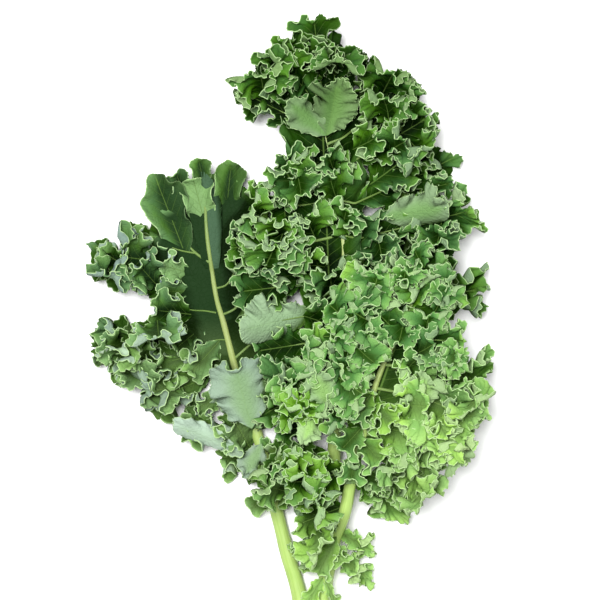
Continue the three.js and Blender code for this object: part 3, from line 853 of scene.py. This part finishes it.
class Paint(Board):
    # a material's tree with what the leaf and stalk finishes share

    def __init__(self, name, roughness, gloss):
        self.material = bpy.data.materials.new(name)
        self.material.use_nodes = True
        super().__init__(self.material.node_tree)
        self.shader = self.tree.nodes["Principled BSDF"]
        self.shader.inputs["Roughness"].default_value = roughness
        self.shader.inputs["Specular IOR Level"].default_value = gloss
        self.place = self.add("ShaderNodeTexCoord", None, None, "Object")

    def read(self, key):
        return self.add("ShaderNodeAttribute", {"attribute_name": key}, None, "Fac")

    def mix(self, factor, first, second, blend="MIX"):
        first, second = [(*c, 1) if isinstance(c, tuple) and len(c) == 3 else c for c in (first, second)]
        return self.add("ShaderNodeMix", {"data_type": "RGBA", "blend_type": blend},
                        {"Factor": factor, "A": first, "B": second})

    def tinted(self, factor, body, colour):
        # the body multiplied by that colour, as far as the factor says
        return self.mix(factor, body, self.mix(1.0, body, colour, "MULTIPLY"))

    def noise(self, scale, detail=2.0, vector=None):
        return self.add("ShaderNodeTexNoise", None,
                        {"Vector": vector or self.place, "Scale": scale, "Detail": detail}, "Fac")

    def finishWith(self, colour, bump=None, rough=None):
        self.tree.links.new(colour.socket, self.shader.inputs["Base Color"])
        if bump:
            height, distance = bump
            sockets = {"Height": height, "Distance": distance, "Strength": 1.0}
            normal = self.add("ShaderNodeBump", None, sockets)
            self.tree.links.new(normal.socket, self.shader.inputs["Normal"])
        if rough:
            self.tree.links.new(rough.socket, self.shader.inputs["Roughness"])
        return self.material


def veinMask(paint):
    # a lobe's own middle vein and its branches, thinner toward the edge
    a, b = paint.read("flatA"), abs(paint.read("flatB")) * 14.0
    across = paint.read("across")
    middle = 1.0 - paint.smooth(b, 0.12, 0.42)
    slant = (a - b * 1.1 + paint.noise(60.0, 1.0) * 3.0) / 5.5
    branch = abs(slant - paint.sum("ROUND", slant)) * 5.5
    branch = (1.0 - paint.smooth(branch, 0.06, 0.3)) * (1.0 - paint.smooth(across, 0.4, 0.95))
    mask = paint.sum("MAXIMUM", middle * (1.0 - paint.smooth(across, 0.5, 0.9)), branch * 0.6)
    return mask * (1.0 - paint.smooth(paint.read("shade"), 0.9, 1.0))


def leafPaint(key, side):
    own = finishes[key]
    paint = Paint(f"leaf {key} {side}", finishes["roughness"], finishes["gloss"])
    across = paint.read("across")
    patch = paint.noise(34.0, 3.0)
    shade = paint.read("shade")
    whole = paint.smooth(shade, 0.9, 1.0)
    light = paint.smooth(-shade, 0.0, 1.0)
    half = paint.smooth(paint.read("flatB"), -0.12, 0.12)
    x, y, z = paint.split(paint.place)
    # painted light: the low part near the stalks, where the thin leaf shows lit and translucent, is brightened
    # and turned toward a lit lime
    low = paint.smooth(y, *own["lowRange"]) * paint.smooth(x, *own["lowAcross"])
    low = paint.sum("MAXIMUM", low, paint.smooth(y, *finishes["foot"])) * own["low"]
    low = low * (1.0 if side == "top" else 0.4)
    rim = 1.0 - paint.smooth(paint.read("rimMm"), *finishes["edgeWidth"])
    if side == "top":
        # painted shade: the dark inner colour near the vein and root, where a lobe lies deep among the others,
        # pales through middle to outer toward the edge; the pale outer is partly the leaf's own paler margin
        # and partly a painted highlight on the raised edges
        body = paint.mix(paint.smooth(across, 0.1, 0.9) + low * 0.5, own["inner"], own["middle"])
        body = paint.mix(paint.smooth(across + patch * 0.5, 0.72, 1.35), body, own["outer"])
        tint = paint.mix(paint.smooth(patch, 0.42, 0.6), own["cool"], own["warm"])
        body = paint.mix(paint.smooth(across, 0.1, 0.7) * 0.45, body, tint)
        # painted shade: a shade of 1 darkens the whole lobe toward inner, a smaller one only the half of the
        # lobe beside the vein; a negative shade is painted light toward outer, and the pale rim fades where
        # shade is painted
        dark = shade * paint.sum("MAXIMUM", whole, half)
        body = paint.mix(light, body, own["outer"])
        body = paint.mix(dark * (1.0 - paint.smooth(across, 0.8, 1.0) * whole), body, own["inner"])
        rim = rim * (1.0 - shade * half * (1.0 - whole)) * (1.0 - whole) * (1.0 - 0.5 * light)
    else:
        pale = own["under"]
        body = paint.mix(paint.smooth(patch, 0.35, 0.65), tuple(c * 0.84 for c in pale), pale)
        body = paint.mix(0.7 - 0.7 * paint.smooth(across + patch * 0.4, 0.3, 1.0), body, own["outer"])
        # painted light from a negative shade, then painted shade: as far as the shade goes, toward the strip
        # colour on one half and the dark inner on the other; a wholly shaded lobe loses its pale rim
        body = paint.mix(light, body, (pale[0] * 1.35, pale[1] * 1.3, pale[2] * 1.5))
        middle = (1.0 - half) * (1.0 - whole * paint.smooth(abs(paint.read("flatB")), 0.5, 0.95))
        body = paint.mix(shade, body, paint.mix(middle, own["inner"], own["strip"]))
        rim = rim * (1.0 - whole)
    tone = paint.mix(paint.read("tone"), (0.72, 0.74, 0.78), (1.25, 1.2, 1.1))
    body = paint.mix(1.0, body, tone, "MULTIPLY")
    # painted light on the low part: brightened and mixed toward the lit lime
    body = paint.tinted(low * 0.7, body, finishes["bright"])
    body = paint.mix(low * 0.4, body, finishes["litLime"])
    body = paint.tinted(paint.smooth(y, 0.07, 0.14), body, finishes["top"])
    # painted shade: points sunk below the leaves around them are darkened and their pale rims dimmed, less so
    # on the lit low part
    sunk = paint.smooth(paint.read("sunk"), *finishes["sunkRange"]) * (1.0 - 0.5 * low)
    body = paint.tinted(sunk, body, finishes["sunk"])
    rim = rim * (1.0 - 0.5 * sunk)
    veins = veinMask(paint) * (0.4 if side == "top" else 0.12)
    body = paint.mix(veins, body, finishes["veinColour"])
    colour = paint.mix(rim * finishes["edgeStrength"], body, finishes["edge"])
    sockets = {"Vector": paint.place, "Scale": 420.0}
    cells = paint.add("ShaderNodeTexVoronoi", {"feature": "DISTANCE_TO_EDGE"}, sockets, "Distance")
    wrinkle = paint.noise(160.0, 3.0) + paint.smooth(cells, 0.0, 0.2) * 0.25 - veins
    rough = finishes["roughness"] - 0.08 + paint.noise(90.0) * 0.2
    return paint.finishWith(colour, (wrinkle, 0.0006), rough)


def stalkPaint():
    paint = Paint("stalk", 0.42, 0.4)
    x, y, z = paint.split(paint.place)
    body = paint.mix(paint.smooth(y, -0.09, 0.0), finishes["stalkLow"], finishes["stalkHigh"])
    body = paint.mix(paint.smooth(paint.read("girth"), 0.7, 1.7), finishes["vein"], body)
    around, along = paint.read("around"), paint.read("along")
    streak = paint.noise(1.0, 3.0, paint.join(around * 5.0, along * 0.03, 0.0))
    body = paint.tinted(paint.smooth(streak, 0.35, 0.7), body, (1.18, 1.12, 1.3))
    body = paint.tinted(paint.smooth(paint.noise(50.0), 0.45, 0.75), body, (0.8, 0.88, 0.7))
    return paint.finishWith(body, (streak, 0.0003))


lineNodes = stalkTree(stalkPaint())
lobeFans = {key: leafFans(key, leaf) for key, leaf in leaves.items()}
flapFans = {key: [Fan(Vector(row[0]), (*row[1], *row[2:8]), 500 + 10 * i + len(key), *row[8:])
                  for i, row in enumerate(rows)] for key, rows in flaps.items()}
leafletFans = {key: [Fan(Vector(row[0]), (*row[1], *row[2:]), 700 + 10 * i + len(key), 0.55)
                     for i, row in enumerate(rows)] for key, rows in leaflets.items()}
footprints = [footprint(fan) for fans in lobeFans.values() for fan in fans]
folded = [fan for fans in flapFans.values() for fan in fans]
folded += [fan for fans in lobeFans.values() for fan in fans if fan.above.z < 0]
flapPrints = [(fan, footprint(fan, 0.9)) for fan in folded]
pieces = []
for key, leaf in leaves.items():
    top, under = leafPaint(key, "top"), leafPaint(key, "under")
    lobeNodes = frillTree(top)
    fans = lobeFans[key]
    small = curlFans(key, fans, footprints, flapPrints) + flapFans[key] + leafletFans[key]
    groups = {"leaf" + key: fans, f"curls{key}1": small}
    if len(small) >= 60:
        groups.update({f"curls{key}1": small[::2], f"curls{key}2": small[1::2]})
    own = [sheetPiece(name, group, lobeNodes, top, under, frills[key]) for name, group in groups.items()]
    lines = lineMesh("lines" + key, stalkLines(key, leaf, fans, lobeNodes))
    own.insert(1, linked("stalk" + key, evaluated("stalk" + key, lines, lineNodes)))
    for piece in own:
        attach(piece, "root")
    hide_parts(leaf["node"])
    pieces += own
    print(key, "curls", len(small))
print("leaves grown")

depths = {"cell": 0.8, "reach": 7, "full": 10.0, "half": 200}


def boxSum(field, reach):
    # sum of the field over the square of cells around each cell
    for axis in (0, 1):
        padding = [(reach + 1, reach) if k == axis else (0, 0) for k in (0, 1)]
        total = np.cumsum(np.pad(field, padding), axis=axis)
        size = 2 * reach + 1
        field = total[size:] - total[:-size] if axis == 0 else total[:, size:] - total[:, :-size]
    return field


def markDepths(pieces):
    # how far each point lies below the leaves around it, 0 to 1, kept as an attribute for the painted shade in
    # the hollows
    cells = int(2 * depths["half"] / depths["cell"])
    tops = np.zeros((cells, cells))
    places = {}
    for piece in pieces:
        points = np.empty(len(piece.data.vertices) * 3, dtype=np.float32)
        piece.data.vertices.foreach_get("co", points)
        points = points.reshape(-1, 3) / mm
        column, row = np.clip((points[:, :2].T + depths["half"]) / depths["cell"], 0, cells - 1).astype(int)
        np.maximum.at(tops, (column, row), points[:, 2])
        places[piece.name] = column, row, points[:, 2]
    filled = boxSum((tops > 0).astype(float), depths["reach"])
    around = boxSum(tops, depths["reach"]) / np.maximum(filled, 1)
    for piece in pieces:
        column, row, height = places[piece.name]
        sunk = np.clip((around[column, row] - height) / depths["full"], 0, 1)
        layer = piece.data.attributes.new("sunk", "FLOAT", "POINT")
        layer.data.foreach_set("value", sunk.astype(np.float32))


markDepths(pieces)
print("depths marked")

studio = {
    "frameWidth": 312.0, "frameMiddle": (0.0, 173.0), "lens": 100.0, "sensor": 36.0,
    "world": 0.22, "floor": 0.97,
    "lamps": [((-0.2, 0.2, 1.2), 0.5, 26.0), ((0.6, -0.3, 1.0), 0.8, 5.0)],
}


def makeStudio():
    scene = bpy.context.scene
    scene.view_settings.view_transform = "Standard"
    world = bpy.data.worlds.new("studio")
    scene.world = world
    world.use_nodes = True
    sky = world.node_tree.nodes["Background"]
    sky.inputs["Color"].default_value = (1, 1, 1, 1)
    sky.inputs["Strength"].default_value = studio["world"]
    camera = bpy.data.cameras.new("camera")
    camera.lens = studio["lens"]
    camera.sensor_width = studio["sensor"]
    holder = linked("camera", camera)
    distance = studio["frameWidth"] * mm * studio["lens"] / studio["sensor"]
    x, y = [(at - middle) * mm for at, middle in zip(studio["frameMiddle"], bench["middle"])]
    holder.location = (x, y, distance + 0.02)
    scene.camera = holder
    floorMesh = bpy.data.meshes.new("floor")
    floorMesh.from_pydata([(-2, -2, 0), (2, -2, 0), (2, 2, 0), (-2, 2, 0)], [], [(0, 1, 2, 3)])
    paint = bpy.data.materials.new("floor")
    paint.use_nodes = True
    surface = paint.node_tree.nodes["Principled BSDF"]
    surface.inputs["Base Color"].default_value = (*[studio["floor"]] * 3, 1)
    surface.inputs["Roughness"].default_value = 0.8
    floorMesh.materials.append(paint)
    for place, size, energy in studio["lamps"]:
        lamp = bpy.data.lights.new("softbox", "AREA")
        lamp.size = size
        lamp.energy = energy
        stand = linked("softbox", lamp)
        stand.location = place
        stand.rotation_euler = (-Vector(place)).to_track_quat("-Z", "Y").to_euler()
    linked("floor", floorMesh)


makeStudio()
print("studio set")
